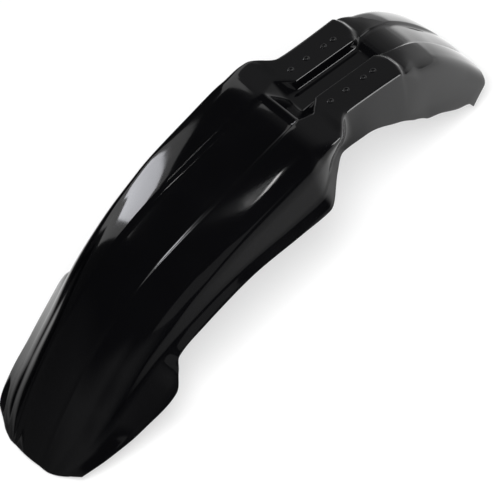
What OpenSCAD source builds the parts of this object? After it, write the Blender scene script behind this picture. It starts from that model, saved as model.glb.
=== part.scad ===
// Front mudguard of an off-road motorcycle: one thin moulded shell.
// X runs across the machine, the nose points to -Y, the tail to +Y, and +Z is up.
// The origin is on the ground, under the middle of the shell's box.

/* [Length] */
// Length over the crown, from the front edge to the rear edge
crown_length = 887; // [865:1:915]
// Distance over the crown from the front edge to the widest point of the ears
ear_at = 183; // [170:1:196]
// Distance over the crown to the rear end of the sunken centre panel
panel_end = 572; // [560:1:584]
// Distance over the crown to the narrow front end of the channel
channel_start = 613; // [606:1:620]
// Distance over the crown to the rear edge of the fork pads
pads_end = 724; // [712:1:736]

/* [Width] */
// Width of the front edge where its corners begin to turn
nose_width = 72; // [60:1:84]
// Width over the ears
ear_width = 250; // [230:1:270]
// Width of the body between the ears and the shoulders, at the knee lines
body_width = 200; // [186:1:212]
// Width over the two fork pads
pads_width = 139; // [132:1:146]
// Width of the tail at its lower edge
tail_width = 158; // [150:1:170]
// Width of the sunken centre panel at its widest
panel_width = 79; // [70:1:86]
// Width of the channel between the fork pads, at the top
channel_width = 40; // [34:1:46]

/* [Depth] */
// Wall thickness of the moulding
wall = 3; // [2:0.1:3.6]
// Depth of the side walls below the crown at the middle of the body
side_depth = 69; // [60:1:78]
// Depth of the channel and the pocket below the fork pads
channel_depth = 14; // [10:0.5:18]
// Depth of the centre panel below the side zones at its rear end
panel_depth = 5; // [2:0.5:7]
// Drop from the fork pads to the tail behind them
pads_step = 4; // [2:0.5:6]
// Depth of the centre band of the tail below its sides
band_depth = 4; // [2:0.5:6]
// Width of the flange turned out along the lower edge
flange = 10; // [6:0.5:13]

/* [Drill marks] */
// Distances of the drill marks in front of the rear edge of the fork pads
mark_back = [30, 46, 75, 101]; // [24:1:108]
// Distance of each row of drill marks from the centre line
mark_offset = 39.5; // [34:0.5:46]
// Diameter of a drill mark at the surface
mark_d = 4.4; // [3:0.2:6]
// Depth of a drill mark
mark_depth = 1.2; // [0.6:0.1:1.6]

/* [Ribs] */
// Distances of the ribs in front of the rear edge of the fork pads
rib_back = [18, 60, 88]; // [14:1:94]
// Thickness of the stiffening ribs under the fork pads
rib_t = 2; // [1.6:0.1:3]
// Height of the stiffening ribs below the wall
rib_h = 8; // [5:0.5:12]

/* [Hidden] */

// Stations along the crown that other values hang on
ear_back = ear_at + 31;
waist_at = channel_start + 32;
pads_flat = pads_end - 8;
pads_slope = -11;
band_start = pads_end + 20;
ramp_at = panel_end - 8;

// Radius of the tip of a drill mark, and how far its cone runs on above the pad
mark_tip = 0.2;
mark_over = 0.5;

// Station on the nose, on the body and on the tail; half width on the nose; depth on the sides
function mix(a, b, u) = a + (b - a) * u;
function nose(u) = mix(0, ear_at, u);
function body(u) = mix(ear_back, panel_end, u);
function tail(u) = mix(pads_end, crown_length, u);
function ears(u) = mix(nose_width / 2, ear_width / 2, u);
function deep(u) = -side_depth * u;
half_body = body_width / 2;
half_pads = pads_width / 2;
half_tail = tail_width / 2;
half_channel = channel_width / 2;

// Slope of the crown in degrees at stations along it
slope = [
    [0, 49], [nose(0.55), 38], [nose(1.09), 29], [body(0.18), 18], [body(0.38), 9], [body(0.63), 4],
    [body(0.9), 4], [panel_end + 3, pads_slope], [pads_flat, pads_slope], [tail(0.12), -30],
    [tail(0.33), -45], [tail(0.46), -54], [tail(0.7), -62], [crown_length, -70]
];

// Lean of the section planes, which turn more evenly than the crown does
lean = [
    [0, 49], [nose(0.55), 38], [nose(1.09), 29], [body(0.18), 18], [body(0.38), 9], [body(0.63), 4],
    [body(0.9), 0], [channel_start, -9], [pads_end - 30, -19], [tail(0.18), -32],
    [tail(0.53), -52], [crown_length, -72]
];

// Half widths and depths of the section's corners at stations along the crown
knee_x = [
    [0, ears(0.2)], [nose(0.11), ears(0.29)], [nose(0.33), ears(0.42)], [nose(0.6), ears(0.48)],
    [ear_at, ears(0.53)], [body(0.18), half_body - 9.5], [body(0.38), half_body - 3],
    [body(0.58), half_body + 1], [body(0.88), half_body + 2.5], [panel_end + 3, half_body + 0.5],
    [panel_end + 20, half_body - 2], [channel_start + 12, half_pads - 1],
    [waist_at, half_pads - 2], [pads_end, half_pads],
    [tail(0.18), half_tail - 8], [crown_length, half_tail - 4]
];
knee_h = [
    [0, deep(0.06)], [nose(0.11), deep(0.09)], [nose(0.33), deep(0.19)], [nose(0.6), deep(0.29)],
    [nose(0.95), deep(0.35)], [body(0.07), deep(0.32)], [body(0.18), deep(0.295)],
    [body(0.38), deep(0.215)], [body(0.66), deep(0.06)], [body(0.86), deep(0.01)],
    [panel_end + 20, -1], [channel_start - 4, 0], [pads_end - 4, 0],
    [pads_end + 4, -pads_step], [tail(0.18), -5], [crown_length, -3]
];
knee_cut = [
    [0, 10], [nose(0.5), 18], [ear_at, 22], [body(0.18), 22], [body(0.5), 21], [body(0.66), 25],
    [body(0.8), 28], [body(0.94), 26], [panel_end + 8, 14], [channel_start + 14, 5],
    [pads_end, 5], [tail(0.18), 24], [crown_length, 20]
];
root_x = [
    [0, ears(0.26)], [nose(0.11), ears(0.37)], [nose(0.33), ears(0.53)], [nose(0.6), ears(0.59)],
    [ear_at, ears(0.63)], [body(0.18), half_body - 1], [body(0.88), half_body],
    [panel_end - 12, half_body - 10.5], [panel_end + 6, half_body - 19], [channel_start - 13, 75],
    [waist_at, half_tail - 3], [pads_end, half_tail - 2], [tail(0.4), half_tail - 3],
    [crown_length, half_tail - 1.5]
];
root_h = [
    [0, deep(0.1)], [nose(0.11), deep(0.145)], [nose(0.33), deep(0.31)], [nose(0.6), deep(0.5)],
    [ear_at, deep(0.62)], [body(0.07), deep(0.67)], [body(0.24), deep(0.71)],
    [body(0.41), deep(0.77)], [body(0.58), deep(0.87)], [body(0.74), deep(0.96)],
    [body(0.88), -side_depth], [panel_end - 12, deep(0.84)], [channel_start - 13, deep(0.62)],
    [waist_at, deep(0.6)], [pads_end - 20, deep(0.88)], [tail(0.27), deep(1.06)],
    [tail(0.64), deep(0.83)], [crown_length, deep(0.43)]
];
edge_x = [
    [0, ears(0.36)], [nose(0.11), ears(0.55)], [nose(0.33), ears(0.75)], [nose(0.6), ears(0.885)],
    [ear_at, ears(1)], [ear_back, ears(0.905)], [body(0.05), half_body + flange - 2],
    [body(0.38), half_body + flange], [body(0.88), half_body + flange],
    [panel_end + 3, half_body - 12], [channel_start - 8, 76.5],
    [waist_at, half_tail - 1], [crown_length, half_tail]
];
edge_h = [
    [0, deep(0.16)], [nose(0.11), deep(0.19)], [nose(0.33), deep(0.46)], [nose(0.6), deep(0.78)],
    [ear_at, deep(1.01)], [ear_back, deep(0.88)], [body(0.07), deep(0.83)], [body(0.22), deep(0.91)],
    [body(0.49), deep(0.985)], [body(0.74), deep(1.19)], [body(0.88), deep(1.29)],
    [panel_end - 12, deep(1.11)], [channel_start - 13, deep(0.78)], [waist_at, deep(0.74)],
    [pads_end - 20, deep(1.01)], [tail(0.15), deep(1.22)], [tail(0.39), deep(1.22)],
    [tail(0.67), deep(1.03)], [crown_length, deep(0.69)]
];

// Smooth value of a table at a station, without overshoot between its rows
function row_of(t, s, i = 0) = (i >= len(t) - 2 || s < t[i + 1][0]) ? i : row_of(t, s, i + 1);
function chord(t, i) = (t[i + 1][1] - t[i][1]) / (t[i + 1][0] - t[i][0]);
function rate(t, i) =
    i == 0 ? chord(t, 0) :
    i == len(t) - 1 ? chord(t, i - 1) :
    let (a = chord(t, i - 1), b = chord(t, i)) a * b <= 0 ? 0 : 2 * a * b / (a + b);
function track(t, s) =
    let (i = row_of(t, s), w = t[i + 1][0] - t[i][0], u = max(0, min(1, (s - t[i][0]) / w)))
    (1 + 2 * u) * pow(1 - u, 2) * t[i][1] + u * pow(1 - u, 2) * w * rate(t, i)
    + u * u * (3 - 2 * u) * t[i + 1][1] + u * u * (u - 1) * w * rate(t, i + 1);

// Crown line in the Y-Z plane, summed from the slope in short steps, then set over the origin
step = 5;
steps = ceil(crown_length / step);
arch = [
    for (i = 0, p = [0, 0]; i <= steps;
         a = track(slope, (i + 0.5) * step), p = p + step * [cos(a), sin(a)], i = i + 1) p
];
nose_shift = 1.03;
nose_z = 3.03;
nose_y = nose_shift - arch[steps][0] / 2;
crown = [for (p = arch) p + [nose_y, nose_z]];
function on_crown(s) =
    let (i = max(0, min(steps - 1, floor(s / step))), u = s / step - i)
    crown[i] + u * (crown[i + 1] - crown[i]);

// Point of the shell from its half-section coordinates at a station
function place(s, x, h) =
    let (p = on_crown(s), a = track(lean, s))
    [x, p[0] - h * sin(a), p[1] + h * cos(a)];

// Sunken centre: half width at the top edge and at the foot, and floor height
crease_x = [
    [0, 30], [nose(0.55), 33], [nose(1.09), 35], [body(0.18), panel_width / 2 - 2],
    [body(0.44), panel_width / 2], [body(0.9), panel_width / 2 - 1.5],
    [ramp_at, panel_width / 2 - 4], [panel_end, panel_width / 2 - 5]
];
pocket_x = [
    [panel_end, panel_width / 2 - 5], [channel_start - 19, panel_width / 2 + 1],
    [channel_start, half_channel], [pads_end - 6, half_channel], [band_start, 26],
    [crown_length, 27]
];
foot_x = [
    [ramp_at, panel_width / 2 - 8], [panel_end, panel_width / 2 - 6],
    [channel_start - 21, half_channel - 4], [pads_end - 6, half_channel - 4], [band_start, 23],
    [crown_length, 24]
];
floor_h = [
    [nose(0.33), 0], [nose(0.93), -0.1 * panel_depth], [body(0.24), -0.3 * panel_depth],
    [body(0.66), -0.75 * panel_depth], [ramp_at, -panel_depth]
];
pocket_h = [
    [ramp_at, -panel_depth], [panel_end, 0], [channel_start - 21, -channel_depth],
    [pads_end - 6, -channel_depth]
];
band_h = [
    [pads_end - 6, -channel_depth], [band_start + 25, -band_depth],
    [crown_length - 60, -band_depth], [crown_length, -0.5]
];
function top_x(s) = s < panel_end ? track(crease_x, s) : lookup(s, pocket_x);
function low_x(s) = s < ramp_at ? track(crease_x, s) - 3 : lookup(s, foot_x);
function low_h(s) =
    s < ramp_at ? track(floor_h, s) :
    s < pads_end - 6 ? lookup(s, pocket_h) : track(band_h, s);
side_top = [
    [pads_end - 4, 0], [pads_end + 4, -pads_step], [tail(0.18), -2], [tail(0.36), 0],
    [crown_length, 0]
];

// Crown of the panel, and bulge of the side zones between the crease and the knee
panel_crown = [
    [0, 2], [body(0.38), 2.5], [body(0.8), 2], [panel_end, 0.5], [pads_end, 0.2], [crown_length, 1]
];
side_bulge = [
    [0, 2], [nose(0.33), 4], [ear_at, 6], [body(0.18), 5], [body(0.52), 3], [panel_end, 1],
    [channel_start, 0], [pads_end, 0], [tail(0.18), 2], [crown_length, 2]
];

function curve3(a, b, c, u) = mix(mix(a, b, u), mix(b, c, u), u);
function toward(a, b, d) = a + (b - a) * min(0.48, d / norm(b - a));

// Columns of one half of a section, from the centre line to the lower edge, and the size of
// the roundings at its creases and at the root of the flange
panel_n = 3;
side_n = 4;
knee_n = 5;
root_n = 3;
crease_cut = 1.5;
crease_drop = 0.7;
root_cut = 6;
half_n = panel_n + 2 + side_n + knee_n + 1 + root_n + 1;
function corners(s) = [
    [low_x(s), low_h(s)],
    [top_x(s), track(side_top, s)],
    [track(knee_x, s), track(knee_h, s)],
    [track(root_x, s), track(root_h, s)],
    [track(edge_x, s), track(edge_h, s)],
    track(knee_cut, s),
    track(panel_crown, s),
    track(side_bulge, s)
];

// Corners of the inner line, one wall below the outer line
function across(a, b) = let (d = (b - a) / norm(b - a)) [-d[1], d[0]];
function inset(a, b, c) =
    let (m = across(a, b), n = across(b, c)) b - wall * (m + n) / (1 + m * n);
function inner_corners(c) = [
    inset([0, c[0][1]], c[0], c[1]),
    inset(c[0], c[1], c[2]),
    inset(c[1], c[2], c[3]),
    inset(c[2], c[3], c[4]),
    c[4] - wall * across(c[3], c[4]),
    max(1.5, c[5] - 0.8 * wall),
    c[6],
    c[7]
];

// Point of a section line in column j
function column(c, j) =
    let (
        foot = c[0], top = c[1], knee = c[2], root = c[3], edge = c[4],
        lip = top + [crease_cut, 0],
        knee_a = toward(knee, lip, c[5]), knee_b = toward(knee, root, c[5]),
        root_a = toward(root, knee, root_cut), root_b = toward(root, edge, root_cut),
        j1 = j - panel_n, j2 = j1 - 2, j3 = j2 - side_n, j4 = j3 - knee_n - 1
    )
    j1 <= 0 ? let (u = j / panel_n) [foot[0] * u, foot[1] + c[6] * (1 - u * u)] :
    j1 == 1 ? top - [0, min(crease_drop, (top[1] - foot[1]) / 2)] :
    j2 <= side_n ? let (u = j2 / side_n) mix(lip, knee_a, u) + [0, c[7] * u * (1 - u)] :
    j3 <= knee_n ? curve3(knee_a, knee, knee_b, j3 / knee_n) :
    j4 <= root_n ? curve3(root_a, root, root_b, j4 / root_n) :
    edge;

// Stations of the rows, closer where the form changes fast
rows = concat(
    [for (u = [0 : 8]) nose(0.1 * u)],
    [for (u = [0 : 0.25 : 1]) mix(ear_at - 16, ear_at, u)],
    [for (u = [0.2 : 0.2 : 1]) mix(ear_at, ear_back, u)],
    [ear_back + 9, ear_back + 18, ear_back + 32],
    [for (u = [0 : 10]) mix(body(0.14), body(0.87), u / 10)],
    [panel_end - 34, panel_end - 24, panel_end - 16, ramp_at, panel_end],
    [panel_end + 7, panel_end + 14, channel_start - 21, channel_start - 19],
    [channel_start - 12, channel_start - 6, channel_start],
    [for (u = [1 : 5]) mix(channel_start, pads_end - 10, u / 6)],
    [pads_end - 10, pads_end - 6, pads_end - 4, pads_end, pads_end + 4, pads_end + 11, band_start],
    [for (u = [1 : 10]) mix(band_start, crown_length, u / 10)]
);

// The corners of the outline turn back at the nose and at the tail
nose_turn = 24;
tail_turn = 18;
function unit(v) = max(0, min(1, v));
function turn(s, p) =
    nose_turn * pow(unit((p[0] - nose_width / 2) / 40), 2) * pow(unit(1 - s / 70), 2)
    + tail_turn * pow(unit((p[0] - half_tail) / 12 + 1), 2)
         * pow(unit(1 - (crown_length - s) / 60), 2);

// The step behind each pad comes earlier at the pad's two sides, so that its corners are round
pads_turn = 9;
channel_turn = 12;
corner = 18;
function early(s, p) =
    (pads_turn * pow(unit((p[0] - half_pads) / corner + 1), 2)
     + channel_turn * pow(unit((half_channel - p[0]) / corner + 1), 2))
    * pow(unit(1 - abs(s - pads_end) / 34), 2) * unit(1 + p[1] / 30);

function half_row(s, inside) =
    let (c = corners(s))
    [
        for (j = [0 : half_n])
            let (p = column(c, j), t = turn(s, p), e = t + early(s, p),
                 o = e == 0 ? c : corners(s + e),
                 q = column(inside ? inner_corners(o) : o, j))
            place(s + t, q[0], q[1])
    ];
function full_row(s, inside) =
    let (r = half_row(s, inside))
    concat([for (j = [half_n : -1 : 1]) [-r[j][0], r[j][1], r[j][2]]], r);

// The shell as one closed skin: outer rows, inner rows and the rim between them
module shell() {
    row_n = len(rows);
    col_n = 2 * half_n + 1;
    n = row_n * col_n;
    points = [for (inside = [false, true], s = rows) each full_row(s, inside)];
    skin = [
        for (i = [0 : row_n - 2])
            for (j = [0 : col_n - 2])
                let (a = i * col_n + j, b = a + 1, c = b + col_n, d = a + col_n)
                each j >= half_n ? [[a, b, c], [a, c, d]] : [[a, b, d], [b, c, d]]
    ];
    under = [for (f = skin) [f[2] + n, f[1] + n, f[0] + n]];
    loop = concat(
        [for (j = [0 : col_n - 2]) j],
        [for (i = [0 : row_n - 2]) i * col_n + col_n - 1],
        [for (j = [col_n - 1 : -1 : 1]) (row_n - 1) * col_n + j],
        [for (i = [row_n - 1 : -1 : 1]) i * col_n]
    );
    rim = [
        for (k = [0 : len(loop) - 1])
            let (a = loop[k], b = loop[(k + 1) % len(loop)])
            each [[a, a + n, b + n], [a, b + n, b]]
    ];
    polyhedron(points, concat([for (f = skin) [f[2], f[1], f[0]]],
                              [for (f = under) [f[2], f[1], f[0]]],
                              [for (f = rim) [f[2], f[1], f[0]]]), convexity = 8);
}

// Frame on the flat plane of the fork pads, at a distance in front of their rear edge
module on_pads(back) {
    p = on_crown(pads_end - back);
    translate([0, p[0], p[1]]) rotate([pads_slope, 0, 0]) children();
}

// Shallow cones in the top of the pads that guide the drill
module drill_marks() {
    for (back = mark_back, side = [-1, 1])
        on_pads(back) translate([side * mark_offset, 0, -mark_depth])
            cylinder(h = mark_depth + mark_over, r1 = mark_tip,
                     r2 = mark_d / 2 + mark_over * (mark_d / 2 - mark_tip) / mark_depth, $fn = 18);
}

// Cross ribs under the pads, let into the channel wall and the side wall
module ribs() {
    low = -wall - rib_h;
    for (back = rib_back, side = [0, 1])
        on_pads(back) mirror([side, 0, 0]) rotate([90, 0, 0])
            linear_extrude(rib_t, center = true)
                polygon([
                    [channel_width / 2 + wall / 2, -wall / 2],
                    [pads_width / 2 - 4, -wall / 2],
                    [pads_width / 2 - 0.5, -2 * wall],
                    [pads_width / 2 - 0.5, low],
                    [channel_width / 2 - wall / 2 - 0.3, low]
                ]);
}

module mudguard() {
    color("#0b0b0d") {
        difference() {
            shell();
            drill_marks();
        }
        ribs();
    }
}

mudguard();
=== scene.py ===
from functools import lru_cache
from math import cos, pi, radians, sin

import bmesh
import bpy
from mathutils import Matrix, Vector


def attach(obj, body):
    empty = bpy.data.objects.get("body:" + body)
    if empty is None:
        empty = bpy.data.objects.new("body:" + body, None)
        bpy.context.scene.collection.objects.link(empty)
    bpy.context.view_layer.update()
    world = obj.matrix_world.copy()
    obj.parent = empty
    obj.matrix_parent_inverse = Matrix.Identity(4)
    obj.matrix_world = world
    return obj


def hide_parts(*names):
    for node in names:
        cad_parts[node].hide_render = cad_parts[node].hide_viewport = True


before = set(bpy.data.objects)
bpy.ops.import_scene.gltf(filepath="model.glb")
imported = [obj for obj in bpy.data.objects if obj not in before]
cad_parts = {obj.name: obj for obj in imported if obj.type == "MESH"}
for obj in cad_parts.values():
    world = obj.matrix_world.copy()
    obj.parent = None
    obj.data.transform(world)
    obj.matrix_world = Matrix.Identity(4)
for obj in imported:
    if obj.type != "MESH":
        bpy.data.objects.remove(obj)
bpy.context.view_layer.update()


# The shell: one injection moulding in gloss black plastic, 3 mm thick, that arches over the front
# wheel. It has a peaked nose with two ears, a sunken centre panel, a channel between two flat pads
# and a tail that curves down. The pads are bolted up under the lower fork clamp.
mm = 0.001

# Sizes in millimetres. A station is the length along the crown from the tip of the nose.
crown_length = 887
ear_at = 183
ear_back = ear_at + 31
panel_end = 572
channel_start = 613
waist_at = channel_start + 32
pads_end = 724
pads_flat = pads_end - 8
band_start = pads_end + 20
nose_width = 72
ear_width = 250
body_width = 200
pads_width = 139
tail_width = 158
panel_width = 79
channel_width = 40
half_body = body_width / 2
half_pads = pads_width / 2
half_tail = tail_width / 2
half_channel = channel_width / 2
wall = 3
side_depth = 69
channel_depth = 14
panel_depth = 5
panel_lean = 3
pads_step = 4
pads_slope = -11
band_depth = 4
flange = 10
ramp_at = panel_end - 8
ramp_bend = ramp_at - 6
band_from = pads_end - 10
crease_cut = 1.6
inner_crease_cut = 0.6
root_cut = 5
least_knee_cut = 1.5
rim_round = 0.9
nose_y = -382.656
nose_z = 3.03


def mix(a, b, share):
    return a + (b - a) * share


def nose(share):
    return mix(0, ear_at, share)


def body(share):
    return mix(ear_back, panel_end, share)


def tail(share):
    return mix(pads_end, crown_length, share)


def ears(share):
    return mix(nose_width / 2, ear_width / 2, share)


def deep(share):
    return -side_depth * share


# Each table row is a station and a value there. Slope of the crown line, in degrees.
slope = [
    [0, 49], [nose(0.55), 38], [nose(1.09), 29], [body(0.18), 18], [body(0.38), 9], [body(0.63), 4],
    [body(0.9), 4], [panel_end + 3, pads_slope], [pads_flat, pads_slope], [tail(0.12), -30],
    [tail(0.33), -45], [tail(0.46), -54], [tail(0.7), -62], [crown_length, -70]
]
# Lean of the cross section, in degrees. It follows the crown, but turns more evenly at the pads.
lean = [
    [0, 49], [nose(0.55), 38], [nose(1.09), 29], [body(0.18), 18], [body(0.38), 9], [body(0.63), 4],
    [body(0.9), 0], [channel_start, -9], [pads_end - 30, -19], [tail(0.18), -32],
    [tail(0.53), -52], [crown_length, -72]
]
# The knee, where the top turns down into the side wall, and how far its rounding reaches.
knee_x = [
    [0, ears(0.2)], [nose(0.11), ears(0.29)], [nose(0.33), ears(0.42)], [nose(0.6), ears(0.48)],
    [ear_at, ears(0.53)], [body(0.18), half_body - 9.5], [body(0.38), half_body - 3],
    [body(0.58), half_body + 1], [body(0.88), half_body + 2.5], [panel_end + 3, half_body + 0.5],
    [panel_end + 20, half_body - 2], [channel_start + 12, half_pads - 1],
    [waist_at, half_pads - 2], [pads_end, half_pads],
    [tail(0.18), half_tail - 8], [crown_length, half_tail - 4]
]
knee_h = [
    [0, deep(0.06)], [nose(0.11), deep(0.09)], [nose(0.33), deep(0.19)], [nose(0.6), deep(0.29)],
    [nose(0.95), deep(0.35)], [body(0.07), deep(0.32)], [body(0.18), deep(0.295)],
    [body(0.38), deep(0.215)], [body(0.66), deep(0.06)], [body(0.86), deep(0.01)],
    [panel_end + 20, -1], [channel_start - 4, 0], [pads_end - 4, 0],
    [pads_end + 4, -pads_step], [tail(0.18), -5], [crown_length, -3]
]
knee_cut = [
    [0, 10], [nose(0.5), 18], [ear_at, 22], [body(0.18), 22], [body(0.5), 21], [body(0.66), 25],
    [body(0.8), 28], [body(0.94), 26], [panel_end + 8, 14], [channel_start + 14, 5],
    [pads_end, 5], [tail(0.18), 24], [crown_length, 20]
]
# The root, where the side wall turns out into the flange.
root_x = [
    [0, ears(0.26)], [nose(0.11), ears(0.37)], [nose(0.33), ears(0.53)], [nose(0.6), ears(0.59)],
    [ear_at, ears(0.63)], [body(0.18), half_body - 1], [body(0.88), half_body],
    [panel_end - 12, half_body - 10.5], [panel_end + 6, half_body - 19], [channel_start - 13, 75],
    [waist_at, half_tail - 3], [pads_end, half_tail - 2], [tail(0.4), half_tail - 3],
    [crown_length, half_tail - 1.5]
]
root_h = [
    [0, deep(0.1)], [nose(0.11), deep(0.145)], [nose(0.33), deep(0.31)], [nose(0.6), deep(0.5)],
    [ear_at, deep(0.62)], [body(0.07), deep(0.67)], [body(0.24), deep(0.71)],
    [body(0.41), deep(0.77)], [body(0.58), deep(0.87)], [body(0.74), deep(0.96)],
    [body(0.88), -side_depth], [panel_end - 12, deep(0.84)], [channel_start - 13, deep(0.62)],
    [waist_at, deep(0.6)], [pads_end - 20, deep(0.88)], [tail(0.27), deep(1.06)],
    [tail(0.64), deep(0.83)], [crown_length, deep(0.43)]
]
# The lower edge of the flange, which also gives the ears their outline.
edge_x = [
    [0, ears(0.36)], [nose(0.11), ears(0.55)], [nose(0.33), ears(0.75)], [nose(0.6), ears(0.885)],
    [ear_at, ears(1)], [ear_back, ears(0.905)], [body(0.05), half_body + flange - 2],
    [body(0.38), half_body + flange], [body(0.88), half_body + flange],
    [panel_end + 3, half_body - 12], [channel_start - 8, 76.5],
    [waist_at, half_tail - 1], [crown_length, half_tail]
]
edge_h = [
    [0, deep(0.16)], [nose(0.11), deep(0.19)], [nose(0.33), deep(0.46)], [nose(0.6), deep(0.78)],
    [ear_at, deep(1.01)], [ear_back, deep(0.88)], [body(0.07), deep(0.83)], [body(0.22), deep(0.91)],
    [body(0.49), deep(0.985)], [body(0.74), deep(1.19)], [body(0.88), deep(1.29)],
    [panel_end - 12, deep(1.11)], [channel_start - 13, deep(0.78)], [waist_at, deep(0.74)],
    [pads_end - 20, deep(1.01)], [tail(0.15), deep(1.22)], [tail(0.39), deep(1.22)],
    [tail(0.67), deep(1.03)], [tail(0.88), deep(0.86)], [crown_length, deep(0.66)]
]
# Half width of the panel at its creases, then of the pocket, channel and tail band at their top
# and at their foot.
crease_x = [
    [0, 30], [nose(0.55), 33], [nose(1.09), 35], [body(0.18), panel_width / 2 - 2],
    [body(0.44), panel_width / 2], [body(0.9), panel_width / 2 - 1.5],
    [ramp_at, panel_width / 2 - 4], [panel_end, panel_width / 2 - 5]
]
pocket_x = [
    [panel_end, panel_width / 2 - 5], [channel_start - 19, panel_width / 2 + 1],
    [channel_start, half_channel], [pads_end - 6, half_channel], [band_start, 26],
    [crown_length, 27]
]
foot_x = [
    [ramp_at, panel_width / 2 - 8], [panel_end, panel_width / 2 - 6],
    [channel_start - 21, half_channel - 4], [pads_end - 6, half_channel - 4], [band_start, 23],
    [crown_length, 24]
]
# Height of the floor of the panel, of the pocket with the channel, and of the tail band.
floor_h = [
    [nose(0.33), 0], [nose(0.93), -0.1 * panel_depth], [body(0.24), -0.3 * panel_depth],
    [body(0.66), -0.75 * panel_depth], [ramp_at, -panel_depth]
]
pocket_h = [
    [ramp_at, -panel_depth], [panel_end, 0], [channel_start - 21, -channel_depth],
    [pads_end - 6, -channel_depth]
]
band_h = [
    [pads_end - 6, -channel_depth], [band_start + 25, -band_depth],
    [crown_length - 60, -band_depth], [crown_length, -0.5]
]
# Height of the top beside the centre, with the step down behind the pads.
side_top = [
    [pads_end - 4, 0], [pads_end + 4, -pads_step], [tail(0.18), -2], [tail(0.36), 0],
    [crown_length, 0]
]
# Rise of the crown over the centre, and of the top between crease and knee.
panel_crown = [
    [0, 2], [body(0.18), 1.4], [body(0.8), 0.8], [panel_end, 0.5], [pads_end, 0.2],
    [crown_length, 1]
]
side_bulge = [
    [0, 2], [nose(0.33), 4], [ear_at, 6], [body(0.18), 5], [body(0.52), 3], [panel_end, 1],
    [channel_start, 0], [pads_end, 0], [tail(0.18), 2], [crown_length, 2]
]


def row_of(table, station):
    for row in range(len(table) - 2):
        if station < table[row + 1][0]:
            return row
    return len(table) - 2


def chord(table, row):
    return (table[row + 1][1] - table[row][1]) / (table[row + 1][0] - table[row][0])


def rate(table, row):
    """Slope of a smooth line through a row: none where the chords on both sides turn back."""
    if row == 0:
        return chord(table, 0)
    if row == len(table) - 1:
        return chord(table, row - 1)
    a, b = chord(table, row - 1), chord(table, row)
    return 0.0 if a * b <= 0 else 2 * a * b / (a + b)


def track(table, station):
    """Smooth value of a table at a station, without overshoot between its rows."""
    i = row_of(table, station)
    w = table[i + 1][0] - table[i][0]
    u = max(0.0, min(1.0, (station - table[i][0]) / w))
    return ((1 + 2 * u) * (1 - u) ** 2 * table[i][1] + u * (1 - u) ** 2 * w * rate(table, i)
            + u * u * (3 - 2 * u) * table[i + 1][1] + u * u * (u - 1) * w * rate(table, i + 1))


def straight(table, station):
    """Straight lines between the rows of a table, with each bend eased over a few millimetres."""
    ease = 2.2
    parts = 4
    total = 0.0
    for k in range(-parts, parts + 1):
        q = min(max(station + ease * k / parts, table[0][0]), table[-1][0])
        i = row_of(table, q)
        u = (q - table[i][0]) / (table[i + 1][0] - table[i][0])
        total += table[i][1] + u * (table[i + 1][1] - table[i][1])
    return total / (2 * parts + 1)


crown_step = 5
crown_line = [Vector((nose_y, nose_z))]
while len(crown_line) * crown_step < crown_length + 2 * crown_step:
    climb = radians(track(slope, (len(crown_line) - 0.5) * crown_step))
    crown_line.append(crown_line[-1] + crown_step * Vector((cos(climb), sin(climb))))


def on_crown(station):
    i = int(max(0, min(len(crown_line) - 2, station // crown_step)))
    return crown_line[i].lerp(crown_line[i + 1], station / crown_step - i)


def place(station, x, height):
    """Point of the part, in metres, from its station and its place in the cross section."""
    crown = on_crown(station)
    tilt = radians(track(lean, station))
    return Vector((x, crown.x - height * sin(tilt), crown.y + height * cos(tilt))) * mm


def centre_edge(station):
    """Foot and top edge of the sunken centre: panel, pocket, channel and tail band."""
    top_h = track(side_top, station)
    if station < ramp_bend:
        x = track(crease_x, station)
        return Vector((x - panel_lean, track(floor_h, station))), Vector((x, top_h))
    start = track(crease_x, ramp_bend)
    foot = straight([[ramp_bend, start - panel_lean]] + foot_x, station)
    top = straight([[ramp_bend, start], crease_x[-2]] + pocket_x, station)
    if station < band_from:
        foot_h = straight([[ramp_bend, track(floor_h, ramp_bend)]] + pocket_h, station)
    else:
        foot_h = track(band_h, station)
    return Vector((foot, foot_h)), Vector((top, top_h))


@lru_cache(maxsize=None)
def corners(station):
    """Corners of the outer skin, with the reach of the roundings and the rise between them."""
    foot, top = centre_edge(station)
    knee = Vector((track(knee_x, station), track(knee_h, station)))
    root = Vector((track(root_x, station), track(root_h, station)))
    edge = Vector((track(edge_x, station), track(edge_h, station)))
    return (foot, top, knee, root, edge, track(knee_cut, station),
            track(panel_crown, station), track(side_bulge, station), crease_cut)


def across(a, b):
    run = (b - a).normalized()
    return Vector((-run.y, run.x))


def inset(a, b, c):
    before, after = across(a, b), across(b, c)
    return b - wall * (before + after) / (1 + before.dot(after))


@lru_cache(maxsize=None)
def inner_corners(station):
    """The same corners one wall further in."""
    foot, top, knee, root, edge, cut, crown, bulge, small = corners(station)
    return (inset(Vector((0, foot.y)), foot, top), inset(foot, top, knee), inset(top, knee, root),
            inset(knee, root, edge), edge - wall * across(root, edge),
            max(least_knee_cut, cut - 0.8 * wall), crown, bulge, inner_crease_cut)


def toward(a, b, reach):
    return a + (b - a) * min(0.48, reach / (b - a).length)


def arc(a, b, c, count):
    return [a.lerp(b, u).lerp(b.lerp(c, u), u) for u in [i / count for i in range(count + 1)]]


def line(a, b, count, bulge=0.0):
    return [a.lerp(b, u) + Vector((0, bulge * u * (1 - u)))
            for u in [i / count for i in range(count + 1)]]


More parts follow.
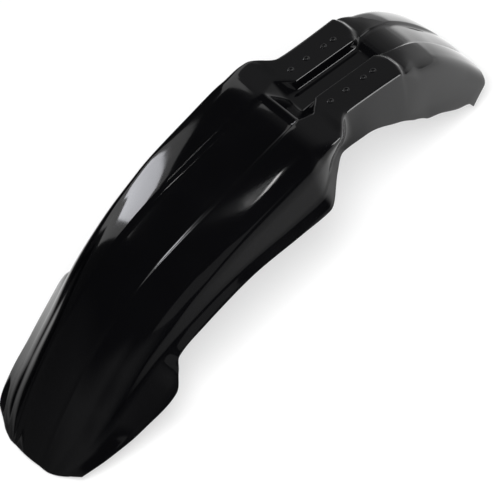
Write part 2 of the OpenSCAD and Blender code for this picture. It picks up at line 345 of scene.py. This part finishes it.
def section(corner_set):
    """Points of one half of a cross section, from the centre line out to the lower edge."""
    foot, top, knee, root, edge, cut, crown, bulge, small = corner_set
    foot_a, foot_b = toward(foot, Vector((0, foot.y)), 2 * small), toward(foot, top, 2 * small)
    top_a, top_b = toward(top, foot, small), toward(top, knee, small)
    knee_a, knee_b = toward(knee, top_b, cut), toward(knee, root, cut)
    root_a, root_b = toward(root, knee, root_cut), toward(root, edge, root_cut)
    out = []
    for i in range(6):
        u = i / 6
        out.append(Vector((foot_a.x * u, foot.y + crown * (1 - u * u))))
    out += arc(foot_a, foot, foot_b, 3)
    out += line(foot_b, top_a, 2)[1:-1]
    out += arc(top_a, top, top_b, 3)
    out += line(top_b, knee_a, 8, bulge)[1:-1]
    out += arc(knee_a, knee, knee_b, 10)
    out += line(knee_b, root_a, 8)[1:-1]
    out += arc(root_a, root, root_b, 5)
    out += line(root_b, edge, 3)[1:]
    return out


# The turned corners: how far they run ahead, and over what width and length they do.
nose_turn = 24
nose_turn_width = 40
nose_turn_length = 70
nose_corner_turn = 6
nose_corner_x = 60
nose_corner_width = 8
tail_turn = 12
tail_turn_width = 12
tail_turn_length = 60
pads_turn = 9
channel_turn = 12
pad_corner_width = 18
pad_corner_length = 34
pad_corner_depth = 30


def unit(value):
    return max(0.0, min(1.0, value))


def turn(station, point):
    """How far a column runs ahead, so that the corners of nose and tail turn."""
    at_nose = (nose_turn * unit((point.x - nose_width / 2) / nose_turn_width) ** 2
               + nose_corner_turn * unit((point.x - nose_corner_x) / nose_corner_width) ** 2)
    at_tail = tail_turn * unit((point.x - half_tail) / tail_turn_width + 1) ** 2
    return (at_nose * unit(1 - station / nose_turn_length) ** 2
            + at_tail * unit(1 - (crown_length - station) / tail_turn_length) ** 2)


def early(station, point):
    """How much earlier the step behind a pad comes at the pad's sides, for its round corners."""
    return ((pads_turn * unit((point.x - half_pads) / pad_corner_width + 1) ** 2
             + channel_turn * unit((half_channel - point.x) / pad_corner_width + 1) ** 2)
            * unit(1 - abs(station - pads_end) / pad_corner_length) ** 2
            * unit(1 + point.y / pad_corner_depth))


def spread(fine=1.0, coarse=3.2):
    """Stations of the rows: close together where the form steps, and further apart elsewhere."""
    steps = [(panel_end - 14, panel_end + 4), (channel_start - 24, channel_start + 3),
             (pads_end - 9, pads_end + 8)]
    station = 0.0
    out = [station]
    while station < crown_length:
        station += fine if any(a <= station < b for a, b in steps) else coarse
        out.append(min(station, crown_length))
    if out[-1] - out[-2] < fine:
        out.pop(-2)
    return out


stations = spread()
half_columns = len(section(corners(0.0))) - 1


@lru_cache(maxsize=None)
def outer_section(station):
    return section(corners(station))


@lru_cache(maxsize=None)
def inner_section(station):
    return section(inner_corners(station))


def skin(bm, section_at):
    """One skin of the shell: a flat grid whose vertices are moved to their place."""
    last_row = len(stations) - 1
    grid = bmesh.ops.create_grid(bm, x_segments=2 * half_columns, y_segments=last_row, size=1.0)
    for v in grid["verts"]:
        column = round((v.co.x + 1) * half_columns) - half_columns
        station = stations[round((v.co.y + 1) / 2 * last_row)]
        outer = outer_section(station)[abs(column)]
        ahead = turn(station, outer)
        shaped_at = round(station + ahead + early(station, outer), 4)
        point = section_at(shaped_at)[abs(column)]
        v.co = place(station + ahead, point.x if column >= 0 else -point.x, point.y)
    return grid["verts"]


bm = bmesh.new()
skin(bm, outer_section)
under = skin(bm, inner_section)
bmesh.ops.reverse_faces(bm, faces=list({f for v in under for f in v.link_faces}))
rim = [e for e in bm.edges if e.is_boundary]
bmesh.ops.bridge_loops(bm, edges=rim)
rim_edges = [e for e in rim if e.is_valid]
bmesh.ops.bevel(bm, geom=rim_edges, offset=rim_round * mm, segments=2, profile=0.5,
                affect="EDGES", material=-1, clamp_overlap=True)
bmesh.ops.recalc_face_normals(bm, faces=bm.faces[:])


def on_pad(station, x, height=0.0):
    """Frame on a fork pad: its z axis stands up from the pad."""
    along = (place(station + 1, x, height) - place(station - 1, x, height)).normalized()
    out = Vector((1, 0, 0)).cross(along)
    here = place(station, x, height)
    return Matrix(((1, along.x, out.x, here.x), (0, along.y, out.y, here.y),
                   (0, along.z, out.z, here.z), (0, 0, 0, 1)))


# Drill marks: four shallow dimples in each pad, moulded in low round bosses, that show where the
# bolt holes may be drilled. A boss is a row of rings, each a radius and a height over the pad.
mark_offset = 39.5
mark_d = 4.4
mark_back = [30, 46, 75, 101]
boss = [(mark_d, -0.1), (0.86 * mark_d, 0.3), (0.72 * mark_d, 0.45), (0.56 * mark_d, 0.4),
        (0.44 * mark_d, 0.1), (0.2 * mark_d, 0.05)]


def ring_of(radius, height, frame_here, last=False):
    ring = bmesh.ops.create_circle(bm, cap_ends=last, radius=radius * mm, segments=20,
                                   matrix=frame_here @ Matrix.Translation((0, 0, height * mm)))
    return {e for v in ring["verts"] for e in v.link_edges}


for distance in mark_back:
    for side in (-1, 1):
        here = on_pad(pads_end - distance, side * mark_offset)
        before = ring_of(*boss[0], here)
        for ring_size in boss[1:]:
            after = ring_of(*ring_size, here, ring_size == boss[-1])
            bmesh.ops.bridge_loops(bm, edges=list(before | after))
            before = after

# Ribs: three thin webs under each fork pad, moulded with it, from the channel to the side wall.
# Their outer ends spread at the foot, as the wall does, and stay inside it.
rib_back = [18, 60, 88]
rib_t = 2
rib_h = 8
rib_sunk = 1
rib_spread = 1.8
rib_width = half_pads - 3.5 - half_channel
for distance in rib_back:
    for side in (-1, 1):
        here = on_pad(pads_end - distance, side * (half_channel + rib_width / 2), -wall - rib_h / 2)
        shape = here @ Matrix.Diagonal((rib_width * mm, rib_t * mm, (rib_h + rib_sunk) * mm, 1))
        rib = bmesh.ops.create_cube(bm, size=1.0, matrix=shape)
        for v in rib["verts"]:
            low = (v.co - here.translation).dot(here.to_3x3().col[2]) < 0
            if low and abs(v.co.x) > abs(here.translation.x):
                v.co.x += side * rib_spread * mm

mesh = bpy.data.meshes.new("shell")
bm.to_mesh(mesh)
bm.free()
mesh.shade_smooth()
mesh.set_sharp_from_angle(angle=radians(55))
shell = bpy.data.objects.new("shell", mesh)
bpy.context.scene.collection.objects.link(shell)

# Moulded gloss black: the gloss varies softly over the part, as the polish of the mould does, with
# very fine long waves where the melt ran from the middle out to the edges.
black = bpy.data.materials.new("gloss black plastic")
black.use_nodes = True
nodes, links = black.node_tree.nodes, black.node_tree.links
surface = nodes["Principled BSDF"]
surface.inputs["IOR"].default_value = 1.5
where = nodes.new("ShaderNodeTexCoord").outputs["Object"]
cloud = nodes.new("ShaderNodeTexNoise")
cloud.inputs["Scale"].default_value = 14.0
cloud.inputs["Detail"].default_value = 3.0
links.new(where, cloud.inputs["Vector"])
gloss = nodes.new("ShaderNodeMapRange")
gloss.inputs["From Min"].default_value = 0.3
gloss.inputs["From Max"].default_value = 0.7
gloss.inputs["To Min"].default_value = 0.055
gloss.inputs["To Max"].default_value = 0.1
links.new(cloud.outputs["Fac"], gloss.inputs["Value"])
links.new(gloss.outputs["Result"], surface.inputs["Roughness"])
shade = nodes.new("ShaderNodeMix")
shade.data_type = "RGBA"
shade.inputs["A"].default_value = (0.0011, 0.0011, 0.0014, 1)
shade.inputs["B"].default_value = (0.0019, 0.0019, 0.0024, 1)
links.new(cloud.outputs["Fac"], shade.inputs["Factor"])
links.new(shade.outputs["Result"], surface.inputs["Base Color"])
stretched = nodes.new("ShaderNodeMapping")
stretched.inputs["Scale"].default_value = (90.0, 14.0, 60.0)
links.new(where, stretched.inputs["Vector"])
flow = nodes.new("ShaderNodeTexNoise")
flow.inputs["Scale"].default_value = 1.0
flow.inputs["Detail"].default_value = 2.0
links.new(stretched.outputs["Vector"], flow.inputs["Vector"])
waves = nodes.new("ShaderNodeBump")
waves.inputs["Strength"].default_value = 0.25
waves.inputs["Distance"].default_value = 0.00004
links.new(flow.outputs["Fac"], waves.inputs["Height"])
links.new(waves.outputs["Normal"], surface.inputs["Normal"])
mesh.materials.append(black)

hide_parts("mudguard")
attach(shell, "root")


# The floor: plain white studio paper under the part, which keeps its shadow. In the gloss the
#  paper shows painted light instead, as a glow: a painted pool of light brightest behind the part,
#  painted shade dim in front of it and to its right, and dark further off.
bm = bmesh.new()
bmesh.ops.create_grid(bm, x_segments=1, y_segments=1, size=12.0)
mesh = bpy.data.meshes.new("floor")
bm.to_mesh(mesh)
bm.free()
floor = bpy.data.objects.new("floor", mesh)
bpy.context.scene.collection.objects.link(floor)
paper = bpy.data.materials.new("white paper")
paper.use_nodes = True
nodes, links = paper.node_tree.nodes, paper.node_tree.links
surface = nodes["Principled BSDF"]
surface.inputs["Base Color"].default_value = (0.93, 0.93, 0.93, 1)
surface.inputs["Roughness"].default_value = 1.0
surface.inputs["Specular IOR Level"].default_value = 0.0


def ramp(value, low, high, to_low, to_high):
    """Smooth step of a socket's value from one level to another."""
    node = nodes.new("ShaderNodeMapRange")
    node.interpolation_type = "SMOOTHSTEP"
    links.new(value, node.inputs["Value"])
    for name, number in zip(("From Min", "From Max", "To Min", "To Max"),
                            (low, high, to_low, to_high)):
        node.inputs[name].default_value = number
    return node.outputs["Result"]


def set_socket(socket, value):
    if isinstance(value, float):
        socket.default_value = value
    else:
        links.new(value, socket)


def joined(operation, a, b):
    node = nodes.new("ShaderNodeMath")
    node.operation = operation
    set_socket(node.inputs[0], a)
    set_socket(node.inputs[1], b)
    return node.outputs["Value"]


def glow(strength):
    node = nodes.new("ShaderNodeEmission")
    set_socket(node.inputs["Strength"], strength)
    return node.outputs["Emission"]


def blend(factor, a, b):
    node = nodes.new("ShaderNodeMixShader")
    links.new(factor, node.inputs["Fac"])
    links.new(a, node.inputs[1])
    links.new(b, node.inputs[2])
    return node.outputs["Shader"]


spot = nodes.new("ShaderNodeTexCoord").outputs["Object"]
split = nodes.new("ShaderNodeSeparateXYZ")
links.new(spot, split.inputs["Vector"])
spot_x, spot_y = split.outputs["X"], split.outputs["Y"]
length = nodes.new("ShaderNodeVectorMath")
length.operation = "LENGTH"
links.new(spot, length.inputs[0])
away = length.outputs["Value"]
# Painted light for the gloss: glow levels over the floor that stand in for the lamps' pool of light
# and for the part's shadow, brighter to the left and behind, dimmer to the right and in front.
beside = joined("MULTIPLY", ramp(spot_x, -0.25, -0.1, 1.2, 0.3), ramp(spot_x, -0.48, -0.3, 0.03, 1.0))
beside = joined("MULTIPLY", beside, ramp(away, 0.55, 1.4, 1.0, 0.1))
beside = joined("MULTIPLY", beside, ramp(spot_y, -0.5, -0.15, 0.3, 1.0))
behind = joined("MULTIPLY", ramp(spot_y, 0.1, 0.45, 0.0, 1.6),
                ramp(joined("DIVIDE", spot_y, away), 0.25, 0.6, 0.0, 1.0))
behind = joined("MULTIPLY", behind, ramp(spot_x, -0.3, 0.1, 0.6, 0.85))
painted_floor_light = joined("ADD", beside, behind)
rays = nodes.new("ShaderNodeLightPath").outputs
mirrored = joined("MAXIMUM", rays["Is Glossy Ray"], rays["Is Transmission Ray"])
seen = joined("MULTIPLY", rays["Is Camera Ray"], 0.56)
look = blend(seen, surface.outputs["BSDF"], glow(1.0))
# Reflections see the floor as this painted glow of light and shade, not as the lit paper.
look = blend(mirrored, look, glow(painted_floor_light))
links.new(look, nodes["Material Output"].inputs["Surface"])
mesh.materials.append(paper)


# The camera, at the photograph's angle: it looks down on the right side of the part through a long
# lens, with a slight roll.
def aim(azimuth, elevation):
    a, e = radians(azimuth), radians(elevation)
    return Vector((sin(a) * cos(e), -cos(a) * cos(e), sin(e)))


view_azimuth = 71.635
view_elevation = 52.881
roll = radians(-27.877)
camera_away = 7.724998
back = aim(view_azimuth, view_elevation)
right = Vector((cos(radians(view_azimuth)), sin(radians(view_azimuth)), 0))
up = back.cross(right)
cam_right = cos(roll) * right + sin(roll) * up
cam_up = -sin(roll) * right + cos(roll) * up
target = Vector((0, 10.709, 4.954)) * mm
camera_data = bpy.data.cameras.new("camera")
camera_data.sensor_width = 36
camera_data.lens = 432
camera_data.clip_end = 60
camera = bpy.data.objects.new("camera", camera_data)
stand = target + back * camera_away
camera.matrix_world = Matrix((
    (cam_right.x, cam_up.x, back.x, stand.x),
    (cam_right.y, cam_up.y, back.y, stand.y),
    (cam_right.z, cam_up.z, back.z, stand.z),
    (0, 0, 0, 1),
))
bpy.context.scene.collection.objects.link(camera)
bpy.context.scene.camera = camera


# The light: a broad soft lamp overhead for the floor and its shadow. The gloss shows the others:
# a tall window and a panel to the left, a narrow tube above, and a small lamp and a dim board to
# the right.
def lamp(name, position, size, radiance, turned=0.0, glossy=True, tint=(1, 1, 1)):
    """Flat lamp that faces the part; radiance 1 looks white in a mirror."""
    data = bpy.data.lights.new(name, "AREA")
    data.shape = "RECTANGLE"
    data.size, data.size_y = size
    data.energy = radiance * pi * size[0] * size[1]
    data.color = tint
    lamp_object = bpy.data.objects.new(name, data)
    axis = Vector(position)
    facing = axis.to_track_quat("Z", "Y").to_matrix().to_4x4()
    lamp_object.matrix_world = (Matrix.Translation(axis) @ facing
                                @ Matrix.Rotation(radians(turned), 4, "Z"))
    lamp_object.visible_glossy = glossy
    lamp_object.visible_camera = False
    bpy.context.scene.collection.objects.link(lamp_object)


lamp("overhead", aim(80, 68) * 3.0, (2.2, 2.2), 7.2, glossy=False)
lamp("window", (-2.0, -0.14, 1.28), (0.32, 0.95), 7.5, tint=(0.93, 0.94, 1.0))
lamp("window glow", (-2.1, -0.17, 1.15), (0.62, 1.7), 0.9)
lamp("side panel", (-2.0, 0.88, 1.35), (0.85, 1.4), 1.0)
lamp("tube", (-0.78, 0.12, 2.2), (0.035, 0.32), 18.0, turned=-16)
lamp("side lamp", (1.05, 0.68, 0.35), (0.32, 0.55), 7.0)
lamp("right board", (1.2, -0.42, 0.86), (0.62, 1.4), 0.21, turned=46)

# The room: dark above, with a pale glow behind the part and a faint one low in front of it, which
# soften its dark sides.
world = bpy.data.worlds.new("studio")
world.use_nodes = True
nodes, links = world.node_tree.nodes, world.node_tree.links
toward_sky = nodes.new("ShaderNodeTexCoord").outputs["Generated"]
split = nodes.new("ShaderNodeSeparateXYZ")
links.new(toward_sky, split.inputs["Vector"])
glow_behind = joined("ADD", ramp(split.outputs["Y"], 0.15, 0.75, 0.025, 0.32),
                     ramp(split.outputs["Y"], 0.65, 1.0, 0.0, 0.8))
glow_in_front = joined("MULTIPLY", ramp(split.outputs["Y"], -0.8, -0.35, 1.0, 0.0),
                       ramp(split.outputs["Z"], 0.5, 0.68, 1.0, 0.0))
glow_in_front = joined("MULTIPLY", glow_in_front, ramp(split.outputs["X"], -0.7, 0.2, 0.05, 0.16))
links.new(joined("ADD", glow_behind, glow_in_front), nodes["Background"].inputs["Strength"])
nodes["Background"].inputs["Color"].default_value = (1, 1, 1, 1)
bpy.context.scene.world = world
bpy.context.scene.view_settings.view_transform = "Standard"
